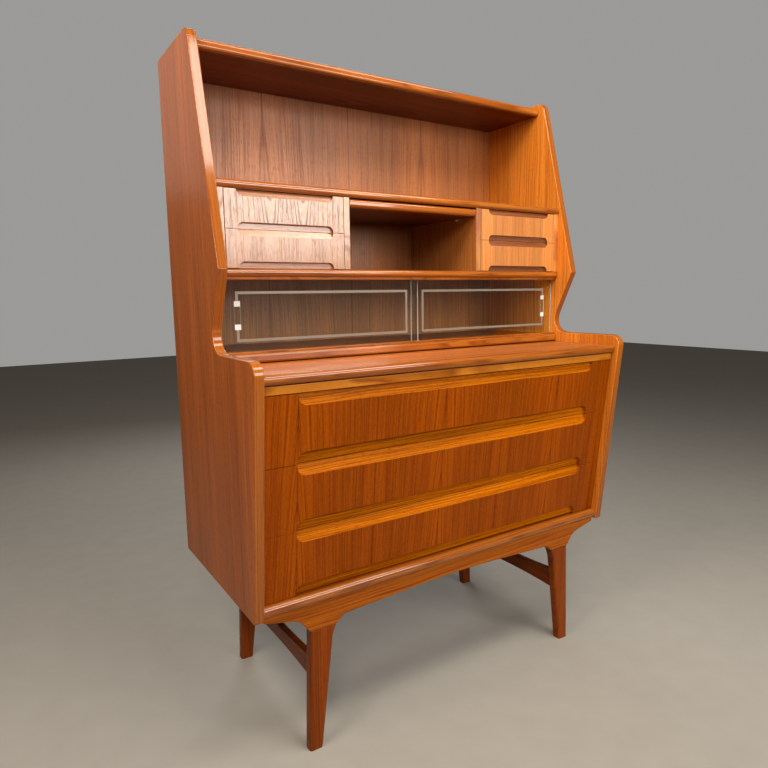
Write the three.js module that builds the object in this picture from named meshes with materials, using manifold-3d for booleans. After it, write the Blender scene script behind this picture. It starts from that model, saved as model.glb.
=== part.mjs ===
// Secretary desk in teak: a two-part case on an open leg base. Millimetres, +Z up, the front faces -Y.
import * as THREE from 'three';
import Module from 'manifold-3d';

// Overall size
const WIDTH = 1000;
const DEPTH = 498;
const PANEL = 20;
const INNER = WIDTH / 2 - PANEL;

// Side panel outline: distance from the back, height above the floor, corner radius
const CASE_BOTTOM = 318.5;
const SHOULDER = 822.5;
const CASE_TOP = 1453;
const FRONT_FOOT = 445.7;
const FRONT_RAKE = 0.11;
const NOSE_REACH = 338.5;
const NOSE_HEIGHT = 986;
const TOP_REACH = 222.5;
const WAIST_REACH = 262;
const SHOULDER_RADIUS = 27;
const WAIST_RADIUS = 41;
const TOP_RADIUS = 25;

// Back panel
const BACK_REAR = 2;
const BACK_FRONT = 6;

// Horizontal boards: underside, top face, reach from the back
const TOP_BOARD = { low: 1421.5, high: 1440, reach: 208.5, nose: 6 };
const MIDDLE_SHELF = { low: 1144.5, high: 1161.5, reach: 291.5, nose: 8 };
const LOWER_SHELF = { low: 973.5, high: 989.5, reach: 291, nose: 7.5 };
const GLASS_FLOOR = { low: 798.6, high: 817, reach: 291, nose: 5 };
const WRITING_TOP = { low: 777.5, high: 796.5, reach: 486, nose: 8.5 };
const CASE_BOARD = { low: 758.5, high: 775.5, reach: 476, nose: 2 };
const BOTTOM_BOARD = { low: 323.5, high: 345.5, reach: 444, nose: 10 };
const WRITING_TOP_BACK = 30;
const CASE_RUNNER_WIDTH = 40;
const SIDE_CLEARANCE = 1;

// Glass doors in two parallel grooves
const GLASS = 5;
const PANE_WIDTH = 485;
const GROOVE_CLEARANCE = 0.5;
const FRONT_PANE_BACK = 274.5;
const REAR_PANE_BACK = 263.5;
const TRACK_BACK = 258.5;
const TRACK_FRONT = 284.5;
const LOWER_TRACK_HEIGHT = 4;
const UPPER_TRACK_HEIGHT = 6;
const GRIP_HEIGHT = 58;
const GRIP_WIDTH = 13;
const GRIP_DEPTH = 1.5;
const GRIP_CENTRE_HEIGHT = 896;
const GRIP_INSET = 34.5;

// Banks of small drawers on each side of the open cubby
const LINER = 15;
const BANK_REACH = 288;
const CUBBY_HALF = 183;
const LEDGE_HIGH = 1066.5;
const LEDGE_LOW = 1058.5;
const LEDGE_WIDTH = 7;
const SMALL_FRONT = 15;
const SMALL_HEIGHT = 76;
const SMALL_LOW = [990.5, 1067.5];
const SMALL_SIDE = 9;
const SMALL_BOX_HEIGHT = 65;
const SMALL_BACK = 30;
const SMALL_RECESS = { height: 13, depth: 7, half: 107, end: 14 };

// Board that pulls out over the cubby, and its two pins
const CUBBY_SLIDE = { low: 1124, high: 1142, reach: 287, nose: 7 };
const CUBBY_SLIDE_BACK = 20;
const PIN_RADIUS = 2.25;
const PIN_REACH = 213;
const PIN_LENGTH = 6;

// Wide drawers
const DRAWER_LOW = [346.5, 484, 621.5];
const DRAWER_HEIGHT = 136;
const DRAWER_SETBACK = 18;
const DRAWER_FRONT = 20;
const DRAWER_HALF = 478.5;
const DRAWER_SIDE = 12;
const DRAWER_BOX_HALF = 478;
const DRAWER_BOX_HEIGHT = 123;
const DRAWER_BOTTOM = 4;
const DRAWER_BACK = 25;
const WIDE_RECESS = { height: 23, depth: 10, half: 408, end: 20 };
const RUNNER_WIDTH = 16;
const RUNNER_HEIGHT = 12;

// Base
const LEG_TOP = 263;
const LEG_OUTER_TOP = 380;
const LEG_OUTER_FLOOR = 389.5;
const LEG_INNER_TOP = 319;
const LEG_INNER_SHOULDER = 328;
const LEG_INNER_FLOOR = 359;
const LEG_SHOULDER = 240;
const BASE_THICKNESS = 24;
const BASE_FRONT = 435;
const BASE_REAR = 38;
const APRON_HALF = 478.5;
const STRETCHER_OUTER = 369;
const STRETCHER_INNER = 353;
const STRETCHER_CENTRE = 166.5;
const STRETCHER_END = 51;
const STRETCHER_WAIST = 31.5;

const wasm = await Module();
wasm.setup();

// --- Materials -------------------------------------------------------------------------------

function teakVeneer() {
  return new THREE.MeshStandardMaterial({ color: 0xa85a26, roughness: 0.42, metalness: 0 });
}

function teakSolid() {
  return new THREE.MeshStandardMaterial({ color: 0xb0622a, roughness: 0.4, metalness: 0 });
}

function drawerBeech() {
  return new THREE.MeshStandardMaterial({ color: 0xc9a06c, roughness: 0.6, metalness: 0 });
}

function plywood() {
  return new THREE.MeshStandardMaterial({ color: 0xb98a58, roughness: 0.65, metalness: 0 });
}

function clearGlass() {
  return new THREE.MeshStandardMaterial({
    color: 0xdfe9e6, roughness: 0.05, metalness: 0, transparent: true, opacity: 0.35,
  });
}

function paleNylon() {
  return new THREE.MeshStandardMaterial({ color: 0xece8de, roughness: 0.5, metalness: 0 });
}

// --- Shape helpers ---------------------------------------------------------------------------

// A distance measured forward from the back of the desk, as a Y coordinate
function fromBack(distance) {
  return DEPTH / 2 - distance;
}

// Distance from the back of the side panels' raked front edge at a height
function frontEdge(height) {
  return FRONT_FOOT + FRONT_RAKE * (height - CASE_BOTTOM);
}

// Distance from the back of the wide drawers' faces at a height
function drawerFace(height) {
  return frontEdge(height) - DRAWER_SETBACK;
}

// A closed outline through corner points [a, b, radius]; each corner with a radius is an arc
function roundedOutline(corners) {
  const shape = new THREE.Shape();
  corners.forEach(([a, b, radius = 0], i) => {
    const corner = new THREE.Vector2(a, b);
    const before = corners[(i + corners.length - 1) % corners.length];
    const after = corners[(i + 1) % corners.length];
    const back = new THREE.Vector2(before[0], before[1]).sub(corner).normalize();
    const ahead = new THREE.Vector2(after[0], after[1]).sub(corner).normalize();
    const line = i === 0 ? 'moveTo' : 'lineTo';
    if (radius === 0) {
      shape[line](a, b);
      return;
    }
    const half = Math.acos(back.dot(ahead)) / 2;
    const reach = radius / Math.tan(half);
    const middle = back.clone().add(ahead).normalize().multiplyScalar(radius / Math.sin(half)).add(corner);
    const start = back.clone().multiplyScalar(reach).add(corner);
    const end = ahead.clone().multiplyScalar(reach).add(corner);
    const clockwise = back.cross(ahead) > 0;
    shape[line](start.x, start.y);
    const from = start.sub(middle).angle();
    const to = end.sub(middle).angle();
    shape.absarc(middle.x, middle.y, radius, from, to, clockwise);
  });
  return shape;
}

// Outline in Y and Z, pushed along X from x0 to x1, with an optional small edge rounding
function alongX(shape, x0, x1, segments = 5, edge = 0) {
  const geometry = new THREE.ExtrudeGeometry(shape, {
    depth: x1 - x0 - 2 * edge,
    curveSegments: segments,
    bevelEnabled: edge > 0,
    bevelThickness: edge,
    bevelSize: edge,
    bevelOffset: -edge,
    bevelSegments: 2,
  });
  const turn = new THREE.Matrix4().makeBasis(
    new THREE.Vector3(0, 1, 0), new THREE.Vector3(0, 0, 1), new THREE.Vector3(1, 0, 0));
  geometry.applyMatrix4(turn);
  geometry.translate(x0 + edge, 0, 0);
  return geometry;
}

// Outline in X and Z, pushed along Y between two distances from the back
function alongY(shape, back, front, segments = 5) {
  const geometry = new THREE.ExtrudeGeometry(shape, {
    depth: front - back, curveSegments: segments, bevelEnabled: false,
  });
  const turn = new THREE.Matrix4().makeBasis(
    new THREE.Vector3(1, 0, 0), new THREE.Vector3(0, 0, 1), new THREE.Vector3(0, -1, 0));
  geometry.applyMatrix4(turn);
  geometry.translate(0, fromBack(back), 0);
  return geometry;
}

// A plain block from X limits, distances from the back and heights
function block(x0, x1, back, front, low, high) {
  const geometry = new THREE.BoxGeometry(x1 - x0, front - back, high - low);
  geometry.translate((x0 + x1) / 2, fromBack((back + front) / 2), (low + high) / 2);
  return geometry;
}

// A board across the case with a rounded front edge
function nosedBoard(size, half, back) {
  const outline = roundedOutline([
    [fromBack(size.reach), size.high, size.nose],
    [fromBack(size.reach), size.low, size.nose],
    [fromBack(back), size.low],
    [fromBack(back), size.high],
  ]);
  return alongX(outline, -half, half, 6);
}

// --- Solid operations ------------------------------------------------------------------------

function toSolid(geometry) {
  const plain = geometry.index ? geometry.toNonIndexed() : geometry;
  const points = plain.getAttribute('position');
  const seen = new Map();
  const vertices = [];
  const triangles = [];
  for (let i = 0; i < points.count; i += 1) {
    const point = [points.getX(i), points.getY(i), points.getZ(i)];
    const key = point.map((value) => Math.round(value * 1e4)).join(',');
    if (!seen.has(key)) {
      seen.set(key, seen.size);
      vertices.push(...point);
    }
    triangles.push(seen.get(key));
  }
  const whole = [];
  for (let i = 0; i < triangles.length; i += 3) {
    const [a, b, c] = triangles.slice(i, i + 3);
    if (a !== b && b !== c && c !== a) {
      whole.push(a, b, c);
    }
  }
  const mesh = new wasm.Mesh({
    numProp: 3,
    vertProperties: new Float32Array(vertices),
    triVerts: new Uint32Array(whole),
  });
  mesh.merge();
  return new wasm.Manifold(mesh);
}

function toGeometry(solid) {
  const mesh = solid.getMesh();
  const geometry = new THREE.BufferGeometry();
  geometry.setAttribute('position', new THREE.BufferAttribute(mesh.vertProperties, 3));
  geometry.setIndex(new THREE.BufferAttribute(mesh.triVerts, 1));
  const faceted = geometry.toNonIndexed();
  faceted.computeVertexNormals();
  return faceted;
}

function cut(geometry, tools) {
  const solid = tools.reduce((left, tool) => left.subtract(toSolid(tool)), toSolid(geometry));
  return toGeometry(solid);
}

function join(pieces) {
  return toGeometry(pieces.map(toSolid).reduce((left, right) => left.add(right)));
}

function overlapOf(first, second) {
  return toGeometry(toSolid(first).intersect(toSolid(second)));
}

function mirrored(geometry) {
  return toGeometry(toSolid(geometry).mirror([1, 0, 0]));
}

// --- Assembly --------------------------------------------------------------------------------

const desk = new THREE.Group();
desk.name = 'secretary_desk';

function add(name, geometry, material) {
  const mesh = new THREE.Mesh(geometry, material);
  mesh.name = name;
  desk.add(mesh);
}

function addPair(name, leftGeometry, material) {
  add(`${name}_left`, leftGeometry, material());
  add(`${name}_right`, mirrored(leftGeometry), material());
}

// --- Case ------------------------------------------------------------------------------------

// Side panel: raked front, rounded shoulder, waist and nose, all in one outline
function sidePanel() {
  const outline = roundedOutline([
    [fromBack(0), CASE_BOTTOM, 8],
    [fromBack(0), CASE_TOP, 8],
    [fromBack(TOP_REACH), CASE_TOP, TOP_RADIUS],
    [fromBack(NOSE_REACH), NOSE_HEIGHT, 3],
    [fromBack(WAIST_REACH), SHOULDER, WAIST_RADIUS],
    [fromBack(frontEdge(SHOULDER)), SHOULDER, SHOULDER_RADIUS],
    [fromBack(FRONT_FOOT), CASE_BOTTOM, 5],
  ]);
  return alongX(outline, -WIDTH / 2, -INNER, 7, 1.5);
}

function caseBoard() {
  const board = nosedBoard(CASE_BOARD, INNER, BACK_FRONT);
  const high = WRITING_TOP.low - 0.5;
  const left = block(-INNER, -INNER + CASE_RUNNER_WIDTH, BACK_FRONT, 430, CASE_BOARD.high - 1, high);
  const right = block(INNER - CASE_RUNNER_WIDTH, INNER, BACK_FRONT, 430, CASE_BOARD.high - 1, high);
  return join([board, left, right]);
}

function addCase() {
  addPair('side_panel', sidePanel(), teakVeneer);
  const back = block(-INNER, INNER, BACK_REAR, BACK_FRONT, BOTTOM_BOARD.low, TOP_BOARD.high);
  add('back_panel', back, teakVeneer());
  add('top_board', nosedBoard(TOP_BOARD, INNER, BACK_FRONT), teakVeneer());
  add('middle_shelf', nosedBoard(MIDDLE_SHELF, INNER, BACK_FRONT), teakVeneer());
  add('lower_shelf', nosedBoard(LOWER_SHELF, INNER, BACK_FRONT), teakVeneer());
  add('glass_floor_board', nosedBoard(GLASS_FLOOR, INNER, BACK_FRONT), teakVeneer());
  add('case_board', caseBoard(), teakVeneer());
  add('bottom_board', nosedBoard(BOTTOM_BOARD, INNER, BACK_FRONT), teakSolid());
}

// --- Writing top -----------------------------------------------------------------------------

function addWritingTop() {
  const top = nosedBoard(WRITING_TOP, INNER - SIDE_CLEARANCE, WRITING_TOP_BACK);
  add('writing_top', top, teakVeneer());
}

// --- Glass doors -----------------------------------------------------------------------------

function track(low, high, grooveLow, grooveHigh) {
  const strip = block(-INNER, INNER, TRACK_BACK, TRACK_FRONT, low, high);
  const grooves = [FRONT_PANE_BACK, REAR_PANE_BACK].map((back) => block(
    -INNER - 1, INNER + 1, back - GROOVE_CLEARANCE, back + GLASS + GROOVE_CLEARANCE, grooveLow, grooveHigh));
  return cut(strip, grooves);
}

// One pane with a ground finger grip near its outer end
function pane(x0, back, gripX) {
  const low = GLASS_FLOOR.high + 1.5;
  const high = LOWER_SHELF.low - 1.5;
  const sheet = block(x0, x0 + PANE_WIDTH, back, back + GLASS, low, high);
  const z0 = GRIP_CENTRE_HEIGHT - GRIP_HEIGHT / 2;
  const z1 = GRIP_CENTRE_HEIGHT + GRIP_HEIGHT / 2;
  const x1 = gripX - GRIP_WIDTH / 2;
  const x2 = gripX + GRIP_WIDTH / 2;
  const outline = roundedOutline([[x1, z0, 4], [x2, z0, 4], [x2, z1, 4], [x1, z1, 4]]);
  const front = back + GLASS;
  return cut(sheet, [alongY(outline, front - GRIP_DEPTH, front + 1, 3)]);
}

function addGlassDoors() {
  const floor = GLASS_FLOOR.high;
  const ceiling = LOWER_SHELF.low;
  const lower = track(floor, floor + LOWER_TRACK_HEIGHT, floor + 1, floor + LOWER_TRACK_HEIGHT + 1);
  const upper = track(ceiling - UPPER_TRACK_HEIGHT, ceiling, ceiling - UPPER_TRACK_HEIGHT - 1, ceiling - 1);
  add('lower_glass_track', lower, teakSolid());
  add('upper_glass_track', upper, teakSolid());
  const outer = INNER - SIDE_CLEARANCE;
  add('glass_pane_left', pane(-outer, FRONT_PANE_BACK, -outer + GRIP_INSET), clearGlass());
  add('glass_pane_right', pane(outer - PANE_WIDTH, REAR_PANE_BACK, outer - GRIP_INSET), clearGlass());
}

// --- Drawer banks and cubby ------------------------------------------------------------------

// Upright board of a drawer bank with the ledge that carries the upper drawer
function bankBoard(x0, ledgeX0) {
  const board = block(x0, x0 + LINER, BACK_FRONT, BANK_REACH, LOWER_SHELF.high, MIDDLE_SHELF.low);
  const ledge = block(ledgeX0, ledgeX0 + LEDGE_WIDTH + 1, BACK_FRONT, 270, LEDGE_LOW, LEDGE_HIGH);
  return join([board, ledge]);
}

function cubbyPin() {
  const pin = new THREE.CylinderGeometry(PIN_RADIUS, PIN_RADIUS, PIN_LENGTH, 16);
  pin.rotateZ(Math.PI / 2);
  const height = CUBBY_SLIDE.low - PIN_RADIUS - 0.25;
  pin.translate(-CUBBY_HALF + PIN_LENGTH / 2, fromBack(PIN_REACH), height);
  return pin;
}

function addCubby() {
  addPair('bank_liner', bankBoard(-INNER, -INNER + LINER - 1), teakVeneer);
  const dividerX = -CUBBY_HALF - LINER;
  addPair('bank_divider', bankBoard(dividerX, dividerX - LEDGE_WIDTH), teakVeneer);
  addPair('cubby_pin', cubbyPin(), paleNylon);
  add('cubby_slide', nosedBoard(CUBBY_SLIDE, CUBBY_HALF - 1.5, CUBBY_SLIDE_BACK), teakVeneer());
}

// --- Finger recesses -------------------------------------------------------------------------

// Front view of a recess that opens at the top (up = 1) or bottom (up = -1) edge of a drawer front
function recessOutline(recess, centre, edge, up) {
  const shape = new THREE.Shape();
  const inner = edge - up * recess.height;
  const { half, end, height } = recess;
  shape.moveTo(centre - half, edge + up * 3);
  shape.lineTo(centre + half, edge + up * 3);
  shape.lineTo(centre + half, edge);
  if (up > 0) {
    shape.absellipse(centre + half - end, edge, end, height, 0, -Math.PI / 2, true);
    shape.lineTo(centre - half + end, inner);
    shape.absellipse(centre - half + end, edge, end, height, -Math.PI / 2, -Math.PI, true);
  } else {
    shape.absellipse(centre + half - end, edge, end, height, 0, Math.PI / 2, false);
    shape.lineTo(centre - half + end, inner);
    shape.absellipse(centre - half + end, edge, end, height, Math.PI / 2, Math.PI, false);
  }
  return shape;
}

// Sloping scoop in the top edge
function topScoop(recess, centre, top, face) {
  const low = top - recess.height;
  const outline = new THREE.Shape([
    new THREE.Vector2(fromBack(face(low) + 20), low),
    new THREE.Vector2(fromBack(face(low)), low),
    new THREE.Vector2(fromBack(face(top) - recess.depth), top),
    new THREE.Vector2(fromBack(face(top) - recess.depth), top + 5),
    new THREE.Vector2(fromBack(face(top) + 20), top + 5),
  ]);
  const wedge = alongX(outline, centre - recess.half - 5, centre + recess.half + 5);
  const front = alongY(recessOutline(recess, centre, top, 1), face(low) - 30, face(top) + 10, 6);
  return overlapOf(wedge, front);
}

// Undercut in the bottom edge, with a hooked upper corner that fingers catch behind
function bottomScoop(recess, centre, bottom, face) {
  const high = bottom + recess.height;
  const outline = new THREE.Shape([
    new THREE.Vector2(fromBack(face(bottom) + 20), bottom - 5),
    new THREE.Vector2(fromBack(face(bottom) - recess.depth), bottom - 5),
    new THREE.Vector2(fromBack(face(bottom) - recess.depth), bottom),
    new THREE.Vector2(fromBack(face(high) - recess.depth - 1), high - recess.height * 0.3),
    new THREE.Vector2(fromBack(face(high) - recess.depth + 1), high),
    new THREE.Vector2(fromBack(face(high) + 20), high),
  ]);
  const wedge = alongX(outline, centre - recess.half - 5, centre + recess.half + 5);
  const front = alongY(recessOutline(recess, centre, bottom, -1), face(bottom) - 30, face(high) + 10, 6);
  return overlapOf(wedge, front);
}

function drawerFront(x0, x1, low, high, thickness, recess, face) {
  const outline = new THREE.Shape([
    new THREE.Vector2(fromBack(face(low)), low),
    new THREE.Vector2(fromBack(face(low) - thickness), low),
    new THREE.Vector2(fromBack(face(high) - thickness), high),
    new THREE.Vector2(fromBack(face(high)), high),
  ]);
  const slab = alongX(outline, x0, x1);
  const centre = (x0 + x1) / 2;
  return cut(slab, [topScoop(recess, centre, high, face), bottomScoop(recess, centre, low, face)]);
}

// --- Wide drawers ----------------------------------------------------------------------------

function wideDrawerSide(low, high) {
  const rear = (height) => drawerFace(height) - DRAWER_FRONT - 0.2;
  const outline = new THREE.Shape([
    new THREE.Vector2(fromBack(rear(low)), low),
    new THREE.Vector2(fromBack(DRAWER_BACK), low),
    new THREE.Vector2(fromBack(DRAWER_BACK), high),
    new THREE.Vector2(fromBack(rear(high)), high),
  ]);
  return alongX(outline, -DRAWER_BOX_HALF, -DRAWER_BOX_HALF + DRAWER_SIDE);
}

function addWideDrawer(name, low) {
  const high = low + DRAWER_HEIGHT;
  const boxLow = low - 0.5;
  const floor = boxLow + DRAWER_BOTTOM;
  const boxHigh = boxLow + DRAWER_BOX_HEIGHT;
  const between = DRAWER_BOX_HALF - DRAWER_SIDE;
  const reach = drawerFace(boxLow) - DRAWER_FRONT - 0.2;
  const front = drawerFront(-DRAWER_HALF, DRAWER_HALF, low, high, DRAWER_FRONT, WIDE_RECESS, drawerFace);
  add(`${name}_front`, front, teakVeneer());
  addPair(`${name}_side`, wideDrawerSide(floor, boxHigh), drawerBeech);
  const back = block(-between, between, DRAWER_BACK, DRAWER_BACK + DRAWER_SIDE, floor, boxHigh - 4);
  add(`${name}_back`, back, drawerBeech());
  const bottom = block(-DRAWER_BOX_HALF, DRAWER_BOX_HALF, DRAWER_BACK, reach, boxLow, floor);
  add(`${name}_bottom`, bottom, plywood());
}

function addRunners() {
  [['upper', DRAWER_LOW[2]], ['middle', DRAWER_LOW[1]]].forEach(([name, low]) => {
    const high = low - 1;
    const runner = block(-INNER, -INNER + RUNNER_WIDTH, BACK_FRONT, 415, high - RUNNER_HEIGHT, high);
    addPair(`${name}_runner`, runner, drawerBeech);
  });
}

function addWideDrawers() {
  addRunners();
  addWideDrawer('bottom_drawer', DRAWER_LOW[0]);
  addWideDrawer('middle_drawer', DRAWER_LOW[1]);
  addWideDrawer('top_drawer', DRAWER_LOW[2]);
}

// --- Small drawers ---------------------------------------------------------------------------

// Sides and back as one finger-jointed frame, open to the front
function smallFrame(x0, x1, low, high) {
  const back = fromBack(SMALL_BACK);
  const front = fromBack(BANK_REACH - SMALL_FRONT - 0.2);
  const shape = new THREE.Shape([
    new THREE.Vector2(x0, front),
    new THREE.Vector2(x0 + SMALL_SIDE, front),
    new THREE.Vector2(x0 + SMALL_SIDE, back - SMALL_SIDE),
    new THREE.Vector2(x1 - SMALL_SIDE, back - SMALL_SIDE),
    new THREE.Vector2(x1 - SMALL_SIDE, front),
    new THREE.Vector2(x1, front),
    new THREE.Vector2(x1, back),
    new THREE.Vector2(x0, back),
  ]);
  const geometry = new THREE.ExtrudeGeometry(shape, { depth: high - low, bevelEnabled: false });
  geometry.translate(0, 0, low);
  return geometry;
}

function addSmallDrawer(name, side, low) {
  const near = CUBBY_HALF + LINER + 1;
  const far = INNER - LINER - 1;
  const x0 = side < 0 ? -far : near;
  const x1 = side < 0 ? -near : far;
  const flat = () => BANK_REACH;
  const front = drawerFront(x0, x1, low, low + SMALL_HEIGHT, SMALL_FRONT, SMALL_RECESS, flat);
  add(`${name}_front`, front, teakVeneer());
  const boxLow = low - 0.5;
  const frame = smallFrame(x0 + 1, x1 - 1, boxLow + 3, boxLow + SMALL_BOX_HEIGHT);
  add(`${name}_frame`, frame, drawerBeech());
  const reach = BANK_REACH - SMALL_FRONT - 0.2;
  add(`${name}_bottom`, block(x0 + 1, x1 - 1, SMALL_BACK, reach, boxLow, boxLow + 3), plywood());
}

function addSmallDrawers() {
  addSmallDrawer('small_drawer_lower_left', -1, SMALL_LOW[0]);
  addSmallDrawer('small_drawer_upper_left', -1, SMALL_LOW[1]);
  addSmallDrawer('small_drawer_lower_right', 1, SMALL_LOW[0]);
  addSmallDrawer('small_drawer_upper_right', 1, SMALL_LOW[1]);
}

// --- Base ------------------------------------------------------------------------------------

// Apron with drooping ends outside the legs and a shallow arch between them
function apron(back) {
  const top = BOTTOM_BOARD.low;
  const shape = new THREE.Shape();
  shape.moveTo(-APRON_HALF, top);
  shape.lineTo(-APRON_HALF, 311);
  shape.bezierCurveTo(-440, 296, -415, 298, -403, 292);
  shape.bezierCurveTo(-392, 287, -384, 278, -LEG_OUTER_TOP, LEG_TOP);
  shape.lineTo(-LEG_INNER_TOP, LEG_TOP);
  shape.bezierCurveTo(-308, 266, -304, 279, -280, 280);
  shape.bezierCurveTo(-180, 284, -90, 290, 0, 290);
  shape.bezierCurveTo(90, 290, 180, 284, 280, 280);
  shape.bezierCurveTo(304, 279, 308, 266, LEG_INNER_TOP, LEG_TOP);
  shape.lineTo(LEG_OUTER_TOP, LEG_TOP);
  shape.bezierCurveTo(384, 278, 392, 287, 403, 292);
  shape.bezierCurveTo(415, 298, 440, 296, APRON_HALF, 311);
  shape.lineTo(APRON_HALF, top);
  shape.closePath();
  return alongY(shape, back, back + BASE_THICKNESS, 7);
}

// Leg that narrows to the floor, with rounded corners, cut level at both ends
function leg(back) {
  const edge = 6;
  const spare = 20;
  const taper = (LEG_INNER_SHOULDER - LEG_INNER_FLOOR) / LEG_SHOULDER;
  const lean = (LEG_OUTER_FLOOR - LEG_OUTER_TOP) / LEG_TOP;
  const shape = new THREE.Shape();
  shape.moveTo(-LEG_OUTER_TOP + lean * spare, LEG_TOP + spare);
  shape.lineTo(-LEG_OUTER_FLOOR - lean * spare, -spare);
  shape.lineTo(-LEG_INNER_FLOOR + taper * spare, -spare);
  shape.lineTo(-LEG_INNER_SHOULDER, LEG_SHOULDER);
  shape.quadraticCurveTo(-LEG_INNER_SHOULDER + 2, LEG_TOP - 8, -LEG_INNER_TOP, LEG_TOP);
  shape.lineTo(-LEG_INNER_TOP + 12, LEG_TOP + spare);
  shape.closePath();
  const geometry = new THREE.ExtrudeGeometry(shape, {
    depth: BASE_THICKNESS - 2 * edge,
    curveSegments: 4,
    bevelEnabled: true,
    bevelThickness: edge,
    bevelSize: edge,
    bevelOffset: -edge,
    bevelSegments: 4,
  });
  const turn = new THREE.Matrix4().makeBasis(
    new THREE.Vector3(1, 0, 0), new THREE.Vector3(0, 0, 1), new THREE.Vector3(0, -1, 0));
  geometry.applyMatrix4(turn);
  geometry.translate(0, fromBack(back + edge), 0);
  const x0 = -LEG_OUTER_FLOOR - 30;
  const x1 = -LEG_INNER_TOP + 30;
  const front = back + BASE_THICKNESS + 10;
  const above = block(x0, x1, back - 10, front, LEG_TOP, LEG_TOP + 2 * spare);
  const below = block(x0, x1, back - 10, front, -2 * spare, 0);
  return cut(geometry, [above, below]);
}

// Stretcher between a front and a back leg, narrower in the middle
function stretcher() {
  const y0 = fromBack(BASE_REAR);
  const y1 = fromBack(BASE_FRONT - BASE_THICKNESS);
  const middle = (y0 + y1) / 2;
  const rise = STRETCHER_END / 2;
  const pull = 2 * (STRETCHER_WAIST / 2) - rise;
  const shape = new THREE.Shape();
  shape.moveTo(y1, STRETCHER_CENTRE - rise);
  shape.quadraticCurveTo(middle, STRETCHER_CENTRE - pull, y0, STRETCHER_CENTRE - rise);
  shape.lineTo(y0, STRETCHER_CENTRE + rise);
  shape.quadraticCurveTo(middle, STRETCHER_CENTRE + pull, y1, STRETCHER_CENTRE + rise);
  shape.closePath();
  return alongX(shape, -STRETCHER_OUTER, -STRETCHER_INNER, 12);
}

function addBase() {
  add('front_apron', apron(BASE_FRONT - BASE_THICKNESS), teakSolid());
  add('rear_apron', apron(BASE_REAR - BASE_THICKNESS), teakSolid());
  addPair('front_leg', leg(BASE_FRONT - BASE_THICKNESS), teakSolid);
  addPair('rear_leg', leg(BASE_REAR - BASE_THICKNESS), teakSolid);
  addPair('stretcher', stretcher(), teakSolid);
}

addCase();
addWritingTop();
addGlassDoors();
addCubby();
addWideDrawers();
addSmallDrawers();
addBase();

export default desk;
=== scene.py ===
from math import cos, pi, radians, sin, tan

import bmesh
import bpy
from mathutils import Matrix, Vector


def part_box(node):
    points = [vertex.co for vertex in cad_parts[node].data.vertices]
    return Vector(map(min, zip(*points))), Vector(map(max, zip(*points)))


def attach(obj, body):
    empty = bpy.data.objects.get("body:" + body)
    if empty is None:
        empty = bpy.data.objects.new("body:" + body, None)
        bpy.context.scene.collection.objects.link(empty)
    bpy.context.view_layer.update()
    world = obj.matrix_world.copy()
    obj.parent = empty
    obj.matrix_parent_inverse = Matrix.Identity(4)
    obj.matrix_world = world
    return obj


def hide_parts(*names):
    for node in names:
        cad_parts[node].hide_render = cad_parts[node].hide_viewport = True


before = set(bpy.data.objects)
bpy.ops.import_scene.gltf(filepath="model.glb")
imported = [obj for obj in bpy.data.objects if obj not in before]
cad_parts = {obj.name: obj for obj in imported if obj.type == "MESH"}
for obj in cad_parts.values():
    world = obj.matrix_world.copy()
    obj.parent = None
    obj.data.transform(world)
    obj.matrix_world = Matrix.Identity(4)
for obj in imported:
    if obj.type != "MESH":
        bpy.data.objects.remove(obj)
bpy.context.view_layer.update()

# ---------------------------------------------------------------------------------------------
# Studio: a pale matt floor, one large soft box to the front right, weaker ones to the left,
# overhead and behind, and pale walls all round. The camera stands low, to the left of the
# desk, and looks slightly down at it.
# ---------------------------------------------------------------------------------------------


def srgb(code):
    channels = [int(code[i:i + 2], 16) / 255 for i in (1, 3, 5)]
    linear = [c / 12.92 if c <= 0.04045 else ((c + 0.055) / 1.055) ** 2.4 for c in channels]
    return (*linear, 1.0)


def add(tree, kind, inputs=None, **settings):
    """Adds a node; an input is either another node's socket or a plain value."""
    node = tree.nodes.new(kind)
    for name, value in settings.items():
        setattr(node, name, value)
    for name, value in (inputs or {}).items():
        if isinstance(value, bpy.types.NodeSocket):
            tree.links.new(value, node.inputs[name])
        else:
            node.inputs[name].default_value = value
    return node


def new_material(name):
    material = bpy.data.materials.new(name)
    material.use_nodes = True
    material.node_tree.nodes.clear()
    return material, material.node_tree


def new_object(name, bm, *materials):
    mesh = bpy.data.meshes.new(name)
    bm.to_mesh(mesh)
    bm.free()
    for material in materials:
        mesh.materials.append(material)
    piece = bpy.data.objects.new(name, mesh)
    bpy.context.scene.collection.objects.link(piece)
    return piece


FLOOR_REACH = 9.0

floor_material, tree = new_material("matt painted floor")
coords = add(tree, "ShaderNodeTexCoord")
speckle = add(tree, "ShaderNodeTexNoise", {"Vector": coords.outputs["Object"], "Scale": 14.0, "Detail": 5.0})
tint = add(tree, "ShaderNodeValToRGB", {"Fac": speckle.outputs["Fac"]})
tint.color_ramp.elements[0].color = srgb("#9A968F")
tint.color_ramp.elements[1].color = srgb("#A4A099")
shader = add(tree, "ShaderNodeBsdfPrincipled", {"Base Color": tint.outputs["Color"], "Roughness": 0.7})
add(tree, "ShaderNodeOutputMaterial", {"Surface": shader.outputs["BSDF"]})

bm = bmesh.new()
bmesh.ops.create_grid(bm, x_segments=1, y_segments=1, size=FLOOR_REACH)
new_object("studio_floor", bm, floor_material)

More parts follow.
